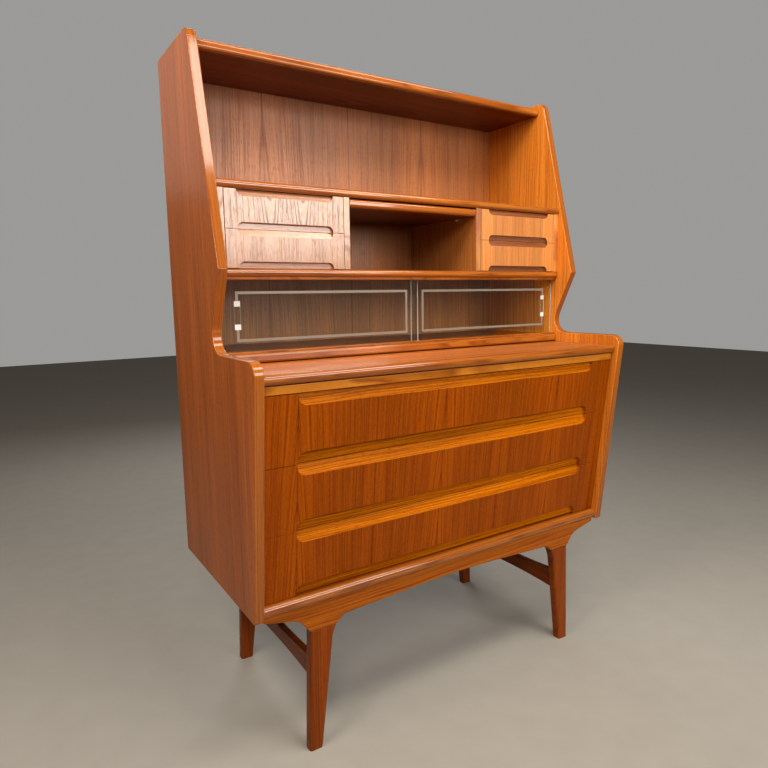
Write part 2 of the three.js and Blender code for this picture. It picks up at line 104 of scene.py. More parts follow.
world = bpy.data.worlds.new("pale studio walls")
bpy.context.scene.world = world
world.use_nodes = True
tree = world.node_tree
tree.nodes.clear()
seen = add(tree, "ShaderNodeBackground", {"Color": srgb("#D4D3D0"), "Strength": 0.50})
glow = add(tree, "ShaderNodeBackground", {"Color": srgb("#FFF4E6"), "Strength": 0.11})
ray = add(tree, "ShaderNodeLightPath")
walls = add(
    tree, "ShaderNodeMixShader",
    {0: ray.outputs["Is Camera Ray"], 1: glow.outputs["Background"], 2: seen.outputs["Background"]})
add(tree, "ShaderNodeOutputWorld", {"Surface": walls.outputs["Shader"]})
bpy.context.scene.view_settings.view_transform = "Standard"

for name, place, aim, size, watts, colour in (
        ("overhead_light", (0.30, -0.85, 2.20), (0.1, 0.0, 1.1), (1.4, 0.45), 27, "#FFF6E8"),
        ("window_light", (0.62, -2.25, 1.52), (0.0, 0.0, 1.0), (1.4, 0.75), 37, "#FFFBF4"),
        ("left_light", (-1.45, -0.45, 2.10), (-0.5, 0.0, 1.2), (0.8, 0.4), 26, "#FFF2E0"),
        ("front_left_light", (-1.50, -2.10, 2.10), (0.3, 0.0, 1.1), (0.7, 0.7), 24, "#FFF2E0"),
        ("far_left_light", (-1.30, 1.90, 1.95), (-0.5, 0.0, 1.2), (1.2, 1.0), 3, "#FFF6E8"),
        ("rear_light", (0.6, 2.4, 2.2), (0.0, 0.0, 0.9), (1.6, 1.2), 26, "#FFFFFF")):
    light = bpy.data.lights.new(name, "AREA")
    light.shape = "RECTANGLE"
    light.size, light.size_y = size
    light.energy = watts
    light.color = srgb(colour)[:3]
    lamp = bpy.data.objects.new(name, light)
    lamp.location = place
    lamp.rotation_euler = (Vector(aim) - Vector(place)).to_track_quat("-Z", "Y").to_euler()
    bpy.context.scene.collection.objects.link(lamp)

CAMERA_PLACE = (-0.8812, -1.2443, 0.9341)
CAMERA_YAW = radians(32.94)
CAMERA_PITCH = radians(8.24)
CAMERA_ROLL = radians(-0.85)
FOCAL_MM = 28.99

camera_data = bpy.data.cameras.new("camera")
camera_data.lens = FOCAL_MM
camera_data.sensor_width = 36.0
camera = bpy.data.objects.new("camera", camera_data)
bpy.context.scene.collection.objects.link(camera)
forward = Vector((
    sin(CAMERA_YAW) * cos(CAMERA_PITCH), cos(CAMERA_YAW) * cos(CAMERA_PITCH), -sin(CAMERA_PITCH)))
level = Vector((cos(CAMERA_YAW), -sin(CAMERA_YAW), 0.0))
upward = level.cross(forward)
right = cos(CAMERA_ROLL) * level + sin(CAMERA_ROLL) * upward
above = -sin(CAMERA_ROLL) * level + cos(CAMERA_ROLL) * upward
camera.matrix_world = Matrix.Translation(CAMERA_PLACE) @ Matrix((right, above, -forward)).transposed().to_4x4()
bpy.context.scene.camera = camera

# ---------------------------------------------------------------------------------------------
# Side panels: 20 mm boards veneered in teak with the grain upright, cut to the whole outline:
# raked top, pointed nose, hollow waist, round shoulder and raked front. The edges are lipped
# in solid teak, bent round the curves, and rounded over by a couple of millimetres.
# ---------------------------------------------------------------------------------------------


def teak(name, order, tones, leaf=0.0, shift=(0.0, 0.0), heart=(0.35, 0.05), climb=0.03, band=0.008,
         waver=0.02, contrast=1.0, roughness=0.36, shine=0.12, lacquer=0.08, polish=0.14,
         dry=0.0, follows_edge=False):
    """Teak, sliced or sawn, oiled and lacquered satin: warm brown with darker growth bands,
    short open pores that catch dark, and a soft sheen. order says which axes run across the
    board, through it and along the grain. leaf is the width of a book-matched veneer leaf,
    heart where the middle of the log lies, climb how fast it tilts, band a ring's thickness,
    and waver how far the rings wander. shine and lacquer say how full the finish is, 
    polish how rough the lacquer is left, and dry how dull the pores and ring lines stay in it."""
    material, tree = new_material(name)
    if follows_edge:
        coords = add(tree, "ShaderNodeUVMap", uv_map="along the edge").outputs["UV"]
    else:
        coords = add(tree, "ShaderNodeTexCoord").outputs["Object"]
    axes = add(tree, "ShaderNodeSeparateXYZ", {"Vector": coords})
    across, through, along = [axes.outputs[axis.upper()] for axis in order]
    moved = add(tree, "ShaderNodeMath", {0: across, 1: shift[0]}, operation="ADD").outputs[0]
    if leaf:
        moved = add(tree, "ShaderNodeMath", {0: moved, 1: leaf}, operation="PINGPONG").outputs[0]
    height = add(tree, "ShaderNodeMath", {0: along, 1: shift[1]}, operation="ADD").outputs[0]
    board = add(tree, "ShaderNodeCombineXYZ", {"X": moved, "Y": through, "Z": height}).outputs[0]

    # the trunk wandered as it grew, so its rings waver by up to 20 mm over half a metre
    slow = add(tree, "ShaderNodeVectorMath", {0: board, 1: (6.0, 6.0, 2.2)}, operation="MULTIPLY")
    sway = add(tree, "ShaderNodeTexNoise", {"Vector": slow.outputs[0], "Scale": 1.0, "Detail": 2.0})
    wander = add(
        tree, "ShaderNodeMapRange", {"Value": sway.outputs["Fac"], "To Min": -waver, "To Max": waver})

    # growth bands are shells round the heart of the log
    side = add(tree, "ShaderNodeMath", {0: moved, 1: heart[0]}, operation="SUBTRACT")
    side = add(tree, "ShaderNodeMath", {0: side.outputs[0], 1: wander.outputs[0]}, operation="ADD")
    rise = add(tree, "ShaderNodeMath", {0: height, 1: climb, 2: heart[1]}, operation="MULTIPLY_ADD")
    shell = add(tree, "ShaderNodeCombineXYZ", {"X": side.outputs[0], "Y": rise.outputs[0]})
    radius = add(tree, "ShaderNodeVectorMath", {0: shell.outputs[0]}, operation="LENGTH")
    count = add(tree, "ShaderNodeMath", {0: radius.outputs["Value"], 1: 1.0 / band}, operation="MULTIPLY")
    drift = add(tree, "ShaderNodeMath", {0: height, 1: 0.9}, operation="MULTIPLY")
    ringed = add(tree, "ShaderNodeCombineXYZ", {"X": count.outputs[0], "Y": drift.outputs[0]})
    rings = add(
        tree, "ShaderNodeTexNoise",
        {"Vector": ringed.outputs[0], "Scale": 1.0, "Detail": 4.0, "Roughness": 0.62}, noise_dimensions="2D")
    # a ring is pale early wood that ends in a thin dark line
    tone = add(tree, "ShaderNodeValToRGB", {"Fac": rings.outputs["Fac"]})
    stops = tone.color_ramp.elements
    stops[0].position, stops[0].color = 0.30, srgb(tones[1])
    stops[1].position, stops[1].color = 0.72, srgb(tones[2])
    for place, step in ((0.44, 2), (0.49, 0), (0.54, 1)):
        stops.new(place).color = srgb(tones[step])

    # fibres about 1 mm wide and 15 cm long, drawn a little coarser than life so that they show
    fine = add(tree, "ShaderNodeVectorMath", {0: board, 1: (700.0, 700.0, 7.0)}, operation="MULTIPLY")
    fibres = add(tree, "ShaderNodeTexNoise", {"Vector": fine.outputs[0], "Scale": 1.0, "Detail": 2.0})
    # open pores, 0.8 mm wide and 12 mm long, again a little coarser than life
    dashes = add(tree, "ShaderNodeVectorMath", {0: board, 1: (1300.0, 1300.0, 75.0)}, operation="MULTIPLY")
    pores = add(tree, "ShaderNodeTexNoise", {"Vector": dashes.outputs[0], "Scale": 1.0, "Detail": 1.0})
    pore = add(
        tree, "ShaderNodeMapRange", {"Value": pores.outputs["Fac"], "From Min": 0.58, "From Max": 0.70})
    # broad streaks 5 to 10 cm wide where the log was darker or paler
    broad = add(tree, "ShaderNodeVectorMath", {0: board, 1: (16.0, 16.0, 1.0)}, operation="MULTIPLY")
    streaks = add(tree, "ShaderNodeTexNoise", {"Vector": broad.outputs[0], "Scale": 1.0, "Detail": 2.0})

    fibre_shade = add(
        tree, "ShaderNodeMapRange",
        {"Value": fibres.outputs["Fac"], "From Min": 0.3, "From Max": 0.7,
         "To Min": 1.0 - 0.13 * contrast, "To Max": 1.0 + 0.10 * contrast})
    streak_shade = add(
        tree, "ShaderNodeMapRange",
        {"Value": streaks.outputs["Fac"], "From Min": 0.3, "From Max": 0.7,
         "To Min": 1.0 - 0.20 * contrast, "To Max": 1.0 + 0.16 * contrast})
    pore_shade = add(
        tree, "ShaderNodeMapRange",
        {"Value": pore.outputs["Result"], "To Min": 1.0, "To Max": 1.0 - 0.36 * contrast})
    shade = add(
        tree, "ShaderNodeMath",
        {0: fibre_shade.outputs["Result"], 1: streak_shade.outputs["Result"]}, operation="MULTIPLY")
    shade = add(
        tree, "ShaderNodeMath", {0: shade.outputs[0], 1: pore_shade.outputs["Result"]}, operation="MULTIPLY")
    if leaf:
        # the glued seam between two leaves shows as a dark line 1 mm wide with a soft edge
        seam = add(tree, "ShaderNodeMath", {0: moved, 1: leaf / 2}, operation="PINGPONG")
        seam_shade = add(
            tree, "ShaderNodeMapRange",
            {"Value": seam.outputs[0], "From Min": 0.0004, "From Max": 0.0022,
             "To Min": 1.0 - 0.38 * contrast, "To Max": 1.0})
        shade = add(
            tree, "ShaderNodeMath", {0: shade.outputs[0], 1: seam_shade.outputs["Result"]}, operation="MULTIPLY")
    colour = add(
        tree, "ShaderNodeVectorMath", {0: tone.outputs["Color"], "Scale": shade.outputs[0]}, operation="SCALE")

    # lacquer sinks into the pores, so they are duller and slightly hollow
    gloss = add(
        tree, "ShaderNodeMapRange",
        {"Value": fibres.outputs["Fac"], "From Min": 0.3, "From Max": 0.7,
         "To Min": roughness - 0.05, "To Max": roughness + 0.07})
    gloss = add(
        tree, "ShaderNodeMath",
        {0: pore.outputs["Result"], 1: 0.15 + 0.25 * dry, 2: gloss.outputs["Result"]}, operation="MULTIPLY_ADD")
    line = add(tree, "ShaderNodeMath", {0: rings.outputs["Fac"], 1: 0.49, 2: 0.025}, operation="COMPARE")
    gloss = add(
        tree, "ShaderNodeMath", {0: line.outputs[0], 1: 0.30 * dry, 2: gloss.outputs[0]}, operation="MULTIPLY_ADD")
    relief = add(
        tree, "ShaderNodeMath",
        {0: pore.outputs["Result"], 1: -0.8, 2: fibres.outputs["Fac"]}, operation="MULTIPLY_ADD")
    bump = add(tree, "ShaderNodeBump", {"Height": relief.outputs[0], "Strength": 0.3, "Distance": 0.0002})
    shader = add(
        tree, "ShaderNodeBsdfPrincipled",
        {"Base Color": colour.outputs[0], "Roughness": gloss.outputs[0], "Normal": bump.outputs["Normal"],
         "IOR": 1.5, "Specular IOR Level": shine, "Coat Weight": lacquer,
         "Coat Roughness": polish})
    add(tree, "ShaderNodeOutputMaterial", {"Surface": shader.outputs["BSDF"]})
    return material


def outlined(corners, place, push):
    """A slab cut to a flat outline with rounded corners. place turns (a, b) into a point, and
    the slab grows from there by push. Its edge faces get a UV map that runs along the edge."""
    bm = bmesh.new()
    points = [bm.verts.new(place(a, b)) for a, b, _ in corners]
    face = bm.faces.new(points)
    for i, (a, b, radius) in enumerate(corners):
        if radius:
            here = Vector((a, b))
            back = Vector(corners[i - 1][:2]) - here
            ahead = Vector(corners[(i + 1) % len(corners)][:2]) - here
            bmesh.ops.bevel(
                bm, geom=[points[i]], offset=radius / tan(back.angle(ahead) / 2), offset_type="OFFSET",
                segments=14, profile=0.5, affect="VERTICES", material=-1)
    bm.faces.ensure_lookup_table()
    face = bm.faces[0]
    run = bm.verts.layers.float.new("run")
    first = min(face.loops, key=lambda corner: corner.vert.co.z - corner.vert.co.y)
    length, loop = 0.0, first
    while True:
        loop.vert[run] = length
        length += (loop.link_loop_next.vert.co - loop.vert.co).length
        loop = loop.link_loop_next
        if loop == first:
            break
    grown = bmesh.ops.extrude_face_region(bm, geom=[face])
    bmesh.ops.translate(
        bm, verts=[part for part in grown["geom"] if isinstance(part, bmesh.types.BMVert)], vec=push)
    bmesh.ops.recalc_face_normals(bm, faces=bm.faces)
    edge_map = bm.loops.layers.uv.new("along the edge")
    direction = Vector(push).normalized()
    for side in bm.faces:
        if abs(side.normal.dot(direction)) < 0.5:
            runs = [corner.vert[run] for corner in side.loops]
            for corner in side.loops:
                here = corner.vert[run]
                wrapped = here == 0.0 and max(runs) > length / 2
                corner[edge_map].uv = (length if wrapped else here, corner.vert.co.dot(direction))
    return bm


def mark(bm, slot, test):
    for face in bm.faces:
        if test(face):
            face.material_index = slot


def ease(piece, width, segments=3, slot=-1):
    """Rounds every sharp edge over a little, and keeps the flat faces flat to the light."""
    rounding = piece.modifiers.new("eased edges", "BEVEL")
    rounding.width = width
    rounding.segments = segments
    rounding.limit_method = "ANGLE"
    rounding.angle_limit = radians(14)
    rounding.material = slot
    piece.data.shade_smooth()
    weighting = piece.modifiers.new("flat faces", "WEIGHTED_NORMAL")
    weighting.mode = "FACE_AREA"
    weighting.weight = 100


def fit(piece, body, slot, *nodes):
    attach(piece, body)
    if nodes:
        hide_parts(*nodes)


PANEL_EASE = 0.0024
PANEL_OUTLINE = (
    (0.0, 0.3185, 0.008), (0.0, 1.453, 0.008), (0.2225, 1.453, 0.025), (0.3385, 0.986, 0.003),
    (0.262, 0.8225, 0.041), (0.5011, 0.8225, 0.027), (0.4457, 0.3185, 0.005))
SIDE_TONES = ("#8C4618", "#A05220", "#AC5E2A")
# INNER_LIT_TONES are painted light: the inner faces of both side panels get a lighter, brighter copy of the side
# veneer, standing in for the light that falls inside the case.
INNER_LIT_TONES = ("#B45C14", "#DA7E28", "#E68E34")
LIPPING_TONES = ("#7C3C0A", "#964E12", "#A65E1C")

outer_veneer = teak(
    "sliced teak veneer, outer face", "yxz", SIDE_TONES, heart=(0.62, 0.03), waver=0.012)
lit_inner_veneer = teak(
    "sliced teak veneer, inner face, painted lighter as light", "yxz", INNER_LIT_TONES, shift=(0.0, 1.7), heart=(0.55, 0.06), waver=0.012,
    contrast=0.9)
edge_lipping = teak(
    "solid teak lipping", "yzx", LIPPING_TONES, shift=(0.3, 0.4), heart=(0.55, 0.1), band=0.004, waver=0.004,
    contrast=0.7, roughness=0.30, shine=0.06, lacquer=0.8, polish=0.09, follows_edge=True)

for hand, sign in (("left", -1), ("right", 1)):
    low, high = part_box(f"side_panel_{hand}")
    outer, inner = (low.x, high.x) if sign < 0 else (high.x, low.x)
    bm = outlined(PANEL_OUTLINE, lambda a, b: (outer, high.y - a, b), (inner - outer, 0.0, 0.0))
    mark(bm, 1, lambda face: abs(face.normal.x) < 0.5)
    mark(bm, 2, lambda face: face.normal.x * sign < -0.5)
    piece = new_object(f"side_board_{hand}", bm, outer_veneer, edge_lipping, lit_inner_veneer)
    ease(piece, PANEL_EASE, segments=4)
    fit(piece, "case", "teak_veneer", f"side_panel_{hand}")

# ---------------------------------------------------------------------------------------------
# Boards between the sides: roof, two shelves, the floor under the glass doors, the board that
# carries the writing top and the bottom board. Veneered chipboard with a solid teak lipping on
# the front, turned to a full round nose; glued and dowelled to the side panels.
# ---------------------------------------------------------------------------------------------

# The boards' veneer is darkened as painted shade, for the shadowed undersides of the roof and shelves; the same dark
# tone covers their tops and the pull-out board too.
BOARD_SHADED_TONES = ("#5C2606", "#6E320A", "#7A3C10")
LIPPING_WIDTH = 0.013
CARRIER_TOP = 0.777
CARRIER_WIDTH = 0.040
CARRIER_REACH = 0.430

shaded_board_veneer = teak(
    "sliced teak veneer, boards, darkened as painted shade", "yzx", BOARD_SHADED_TONES, shift=(0.1, 0.6), heart=(0.30, 0.04), band=0.007)
nose_lipping = teak(
    "solid teak nose", "yzx", LIPPING_TONES, shift=(0.4, 0.2), heart=(0.90, 0.06), climb=0.02, band=0.004,
    waver=0.002, contrast=0.5, roughness=0.30, shine=0.06, lacquer=1.0, polish=0.09)

# The case board's front edge gets a paler, yellower copy of the nose lipping: painted light, brightening a strip that
# lies in shade under the writing top's nose.
lit_pale_lipping = teak(
    "pale solid teak edge, painted light", "yzx", ("#8C4608", "#AA6014", "#BE7420"), shift=(0.2, 0.9), heart=(0.90, 0.06),
    climb=0.02, band=0.004, waver=0.002, roughness=0.34, lacquer=0.3)


def nosed_board(low, high, nose):
    """A board whose long front edge is turned to a round nose, in its own lipping."""
    bm = bmesh.new()
    bmesh.ops.create_cube(bm, size=1.0, matrix=Matrix.LocRotScale((low + high) / 2, None, high - low))
    front = [
        edge for edge in bm.edges
        if all(abs(vert.co.y - low.y) < 1e-6 for vert in edge.verts) and abs(edge.verts[0].co.x - edge.verts[1].co.x) > 0.01]
    bmesh.ops.bevel(
        bm, geom=front, offset=nose, offset_type="OFFSET", segments=12, profile=0.5, affect="EDGES", material=-1)
    bmesh.ops.bisect_plane(
        bm, geom=[*bm.verts, *bm.edges, *bm.faces], plane_co=(0.0, low.y + LIPPING_WIDTH, 0.0),
        plane_no=(0.0, 1.0, 0.0))
    mark(bm, 1, lambda face: face.calc_center_median().y < low.y + LIPPING_WIDTH)
    return bm


for name, nose in (
        ("top_board", 0.0060), ("middle_shelf", 0.0080), ("lower_shelf", 0.0075), ("glass_floor_board", 0.0050),
        ("case_board", 0.0020), ("bottom_board", 0.0100)):
    low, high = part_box(name)
    if name == "case_board":
        carrier_low, high = high.z, Vector((high.x, high.y, 0.7755))
    bm = nosed_board(low, high, nose)
    if name == "case_board":
        for side in (-1, 1):
            centre = Vector((
                side * (high.x - CARRIER_WIDTH / 2), high.y + 0.006 - CARRIER_REACH / 2 - 0.003,
                (high.z + CARRIER_TOP) / 2))
            size = Vector((CARRIER_WIDTH, CARRIER_REACH - 0.006, CARRIER_TOP - high.z))
            bmesh.ops.create_cube(bm, size=1.0, matrix=Matrix.LocRotScale(centre, None, size))
    piece = new_object(f"{name}_veneered", bm, shaded_board_veneer, lit_pale_lipping if name == "case_board" else nose_lipping)
    ease(piece, 0.0006, segments=2)
    fit(piece, "case", "teak_solid" if name == "bottom_board" else "teak_veneer", name)

# ---------------------------------------------------------------------------------------------
# Back panel: 4 mm veneered plywood let in between the side panels, grain upright. Its front is
# teak, laid in leaves about 24 cm wide and a shade greyer than the rest; its rear is plain
# gaboon veneer, screwed to every board with small slotted screws.
# ---------------------------------------------------------------------------------------------

BACK_TONES = ("#8A4A22", "#9C5A2A", "#A86834")
REAR_TONES = ("#9A7052", "#AE8260", "#BA9270")
SCREW_ROWS = (0.3345, 0.7653, 0.8080, 0.9815, 1.1530, 1.4307)
SCREW_COLUMNS = (-0.462, -0.231, 0.0, 0.231, 0.462)
SCREW_RADIUS = 0.0034

back_veneer = teak(
    "sliced teak veneer, back panel", "xyz", BACK_TONES, leaf=0.24, shift=(0.02, 0.2), heart=(0.30, 0.05),
    climb=0.04, band=0.006, waver=0.012, contrast=1.2, roughness=0.32, shine=0.4, lacquer=0.0, dry=0.5)
rear_veneer = teak(
    "gaboon plywood face", "xyz", REAR_TONES, leaf=0.31, shift=(0.1, 0.5), heart=(0.34, 0.04), climb=0.06,
    band=0.011, waver=0.014, contrast=0.8, roughness=0.60)
low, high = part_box("back_panel")
bm = bmesh.new()
bmesh.ops.create_cube(bm, size=1.0, matrix=Matrix.LocRotScale((low + high) / 2, None, high - low))
mark(bm, 1, lambda face: face.normal.y > 0.5)
piece = new_object("back_sheet", bm, back_veneer, rear_veneer)
ease(piece, 0.0004, segments=2)
fit(piece, "case", "teak_veneer", "back_panel")

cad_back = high.y
screw_steel, tree = new_material("zinc plated steel screw")
coords = add(tree, "ShaderNodeTexCoord")
# zinc dulls in blotches about 1 mm across, and bright metal shows where the driver rubbed
blotches = add(tree, "ShaderNodeTexNoise", {"Vector": coords.outputs["Object"], "Scale": 900.0, "Detail": 3.0})
dull = add(tree, "ShaderNodeMapRange", {"Value": blotches.outputs["Fac"], "To Min": 0.25, "To Max": 0.55})
tint = add(tree, "ShaderNodeValToRGB", {"Fac": blotches.outputs["Fac"]})
tint.color_ramp.elements[0].color = srgb("#8D8C86")
tint.color_ramp.elements[1].color = srgb("#BDBBB2")
shader = add(
    tree, "ShaderNodeBsdfPrincipled",
    {"Base Color": tint.outputs["Color"], "Roughness": dull.outputs["Result"], "Metallic": 1.0})
add(tree, "ShaderNodeOutputMaterial", {"Surface": shader.outputs["BSDF"]})

bm = bmesh.new()
for row in SCREW_ROWS:
    for column in SCREW_COLUMNS:
        # a flat head let in until it stands 0.5 mm proud, with a slot sawn across it
        place = Matrix.Translation((column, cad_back, row)) @ Matrix.Rotation(radians(-90), 4, "X")
        turn = Matrix.Rotation(column * 9.0 + row * 23.0, 4, "Z")
        made = bmesh.ops.create_cone(
            bm, cap_ends=True, segments=20, radius1=SCREW_RADIUS, radius2=SCREW_RADIUS * 0.86, depth=0.001)
        head = made["verts"]
        cap = max({face for vert in head for face in vert.link_faces}, key=lambda f: f.calc_center_median().z)
        slit = bmesh.ops.inset_individual(bm, faces=[cap], thickness=SCREW_RADIUS * 0.22, depth=0.0)
        members = {vert for face in [cap, *slit["faces"]] for vert in face.verts} | set(head)
        sunk = bmesh.ops.extrude_face_region(bm, geom=[cap])
        floor_verts = [part for part in sunk["geom"] if isinstance(part, bmesh.types.BMVert)]
        for vert in floor_verts:
            vert.co.z -= 0.0004
        members |= set(floor_verts)
        bmesh.ops.transform(bm, matrix=place @ turn, verts=list(members))
bmesh.ops.recalc_face_normals(bm, faces=bm.faces)
piece = new_object("back_screws", bm, screw_steel)
piece.data.set_sharp_from_angle(angle=radians(30))
fit(piece, "case", "plywood")

# ---------------------------------------------------------------------------------------------
# Drawer banks: upright boards each side of the open cubby and against the side panels, with a
# narrow ledge that carries the upper drawer, glued between the two shelves; teak veneer with
# the grain upright. Two white nylon pegs under the pull-out board keep it level.
# ---------------------------------------------------------------------------------------------

LEDGE_LOW, LEDGE_HIGH = 1.0585, 1.0665
LEDGE_WIDTH = 0.007
LEDGE_REACH = 0.264
LEFT_TONES = ("#824618", "#9C6026", "#A86E30")
RIGHT_TONES = ("#A4561E", "#C07432", "#CC8640")

bank_veneers = {
    hand: teak(
        f"sliced teak veneer, {hand} drawer bank", "yxz", tones, shift=(0.2, 0.9), heart=(0.63, 0.05), band=0.005,
        waver=0.006, roughness=0.25, shine=0.9, lacquer=0.25, dry=0.4)
    for hand, tones in (("left", LEFT_TONES), ("right", RIGHT_TONES))}

for kind in ("bank_liner", "bank_divider"):
    for hand, sign in (("left", -1), ("right", 1)):
        node = f"{kind}_{hand}"
        low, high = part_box(node)
        # the ledge is on the side away from the desk's outside on a liner, towards it on a divider
        ledge_side = -sign if kind == "bank_liner" else sign
        board_low, board_high = low.copy(), high.copy()
        if ledge_side > 0:
            board_high.x -= LEDGE_WIDTH
        else:
            board_low.x += LEDGE_WIDTH
        bm = bmesh.new()
        bmesh.ops.create_cube(
            bm, size=1.0,
            matrix=Matrix.LocRotScale((board_low + board_high) / 2, None, board_high - board_low))
        x0 = board_high.x if ledge_side > 0 else low.x
        centre = Vector((x0 + LEDGE_WIDTH / 2, high.y - LEDGE_REACH / 2, (LEDGE_LOW + LEDGE_HIGH) / 2))
        size = Vector((LEDGE_WIDTH, LEDGE_REACH, LEDGE_HIGH - LEDGE_LOW))
        bmesh.ops.create_cube(bm, size=1.0, matrix=Matrix.LocRotScale(centre, None, size))
        piece = new_object(f"{node}_board", bm, bank_veneers[hand])
        ease(piece, 0.0008, segments=2)
        fit(piece, "case", "teak_veneer", node)

nylon, tree = new_material("moulded white nylon")
coords = add(tree, "ShaderNodeTexCoord")
# moulded nylon is slightly mottled and scuffed where the board slides on it, in marks about 1 mm across
mottle = add(tree, "ShaderNodeTexNoise", {"Vector": coords.outputs["Object"], "Scale": 700.0, "Detail": 3.0})
tint = add(tree, "ShaderNodeValToRGB", {"Fac": mottle.outputs["Fac"]})
tint.color_ramp.elements[0].color = srgb("#DDD8CB")
tint.color_ramp.elements[1].color = srgb("#F1EEE6")
scuff = add(tree, "ShaderNodeMapRange", {"Value": mottle.outputs["Fac"], "To Min": 0.35, "To Max": 0.6})
shader = add(
    tree, "ShaderNodeBsdfPrincipled",
    {"Base Color": tint.outputs["Color"], "Roughness": scuff.outputs["Result"], "IOR": 1.53,
     "Subsurface Weight": 0.15, "Subsurface Scale": 0.002})
add(tree, "ShaderNodeOutputMaterial", {"Surface": shader.outputs["BSDF"]})

for hand in ("left", "right"):
    low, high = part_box(f"cubby_pin_{hand}")
    radius = (high.z - low.z) / 2
    bm = bmesh.new()
    bmesh.ops.create_cone(
        bm, cap_ends=True, segments=24, radius1=radius, radius2=radius, depth=high.x - low.x,
        matrix=Matrix.Translation((low + high) / 2) @ Matrix.Rotation(radians(90), 4, "Y"))
    piece = new_object(f"nylon_peg_{hand}", bm, nylon)
    ease(piece, 0.0006)
    fit(piece, "case", "nylon", f"cubby_pin_{hand}")

# ---------------------------------------------------------------------------------------------
# Pull-out board over the cubby: a thin veneered board with a round nose that slides forward
# over its two pegs to make a small extra shelf.
# ---------------------------------------------------------------------------------------------

low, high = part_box("cubby_slide")
piece = new_object("pull_out_board", nosed_board(low, high, 0.0070), shaded_board_veneer, nose_lipping)
ease(piece, 0.0006, segments=2)
fit(piece, "cubby_slide", "teak_veneer", "cubby_slide")

# ---------------------------------------------------------------------------------------------
# Glass doors: two 5 mm float panes that slide past each other in grooved teak tracks. Each has
# an etched line 5.5 mm wide round it, a ground trough at its outer end for a fingertip, and
# ground edges that look pale green-grey.
# ---------------------------------------------------------------------------------------------

ETCHED_WIDTH = 0.0055
ETCHED_LOW, ETCHED_HIGH = 0.8450, 0.9415
ETCHED_FAR, ETCHED_NEAR = 0.4448, 0.0282
GRIP_CENTRE, GRIP_HALF_WIDTH = 0.4445, 0.0065
GRIP_LOW, GRIP_HIGH = 0.867, 0.925
GRIP_DEPTH, GRIP_RAMP = 0.0015, 0.011
TRACK_BACK, TRACK_FRONT = 0.2585, 0.2845
GROOVES = ((0.2740, 0.2800), (0.2630, 0.2690))

clear_glass, tree = new_material("float glass")
coords = add(tree, "ShaderNodeTexCoord")
# faint finger marks and dust, patches some 3 cm across, just enough to break up the reflections
marks = add(tree, "ShaderNodeTexNoise", {"Vector": coords.outputs["Object"], "Scale": 32.0, "Detail": 4.0})
haze = add(
    tree, "ShaderNodeMapRange",
    {"Value": marks.outputs["Fac"], "From Min": 0.5, "From Max": 0.8, "To Min": 0.0, "To Max": 0.05})
glass = add(
    tree, "ShaderNodeBsdfPrincipled",
    {"Base Color": srgb("#EEF3F0"), "Roughness": haze.outputs["Result"], "IOR": 1.52, "Transmission Weight": 1.0})
through = add(tree, "ShaderNodeBsdfTransparent", {"Color": srgb("#E6EDE9")})
ray = add(tree, "ShaderNodeLightPath")
mix = add(
    tree, "ShaderNodeMixShader",
    {0: ray.outputs["Is Shadow Ray"], 1: glass.outputs["BSDF"], 2: through.outputs["BSDF"]})
add(tree, "ShaderNodeOutputMaterial", {"Surface": mix.outputs["Shader"]})


def ground_glass(name, dark, light, clearness, rough):
    """Glass worn matt by grit: grains under 0.2 mm drawn at 1 mm, pale because it scatters."""
    material, tree = new_material(name)
    coords = add(tree, "ShaderNodeTexCoord")
    grit = add(tree, "ShaderNodeTexNoise", {"Vector": coords.outputs["Object"], "Scale": 1000.0, "Detail": 3.0})
    tint = add(tree, "ShaderNodeValToRGB", {"Fac": grit.outputs["Fac"]})
    tint.color_ramp.elements[0].color = srgb(dark)
    tint.color_ramp.elements[1].color = srgb(light)
    bump = add(tree, "ShaderNodeBump", {"Height": grit.outputs["Fac"], "Strength": 0.3, "Distance": 0.0001})
    shader = add(
        tree, "ShaderNodeBsdfPrincipled",
        {"Base Color": tint.outputs["Color"], "Roughness": rough, "IOR": 1.52, "Normal": bump.outputs["Normal"],
         "Transmission Weight": clearness})
    add(tree, "ShaderNodeOutputMaterial", {"Surface": shader.outputs["BSDF"]})
    return material


etched_glass = ground_glass("etched glass line", "#7C7264", "#90867A", 0.25, 0.6)
ground_edge = ground_glass("ground glass edge", "#AEB9B6", "#D2DAD7", 0.25, 0.4)
ground_grip = ground_glass("ground glass trough", "#D8E2DE", "#F4F8F6", 0.30, 0.45)


def cut_out(piece, cutters):
    """Cuts the cutters out of a piece, and keeps the result as its plain mesh."""
    for cutter in cutters:
        cutting = piece.modifiers.new("cut", "BOOLEAN")
        cutting.operation = "DIFFERENCE"
        cutting.solver = "EXACT"
        cutting.object = cutter
    result = bpy.data.meshes.new_from_object(piece.evaluated_get(bpy.context.evaluated_depsgraph_get()))
    piece.modifiers.clear()
    old = piece.data
    piece.data = result
    bpy.data.meshes.remove(old)
    for cutter in cutters:
        bpy.data.meshes.remove(cutter.data)


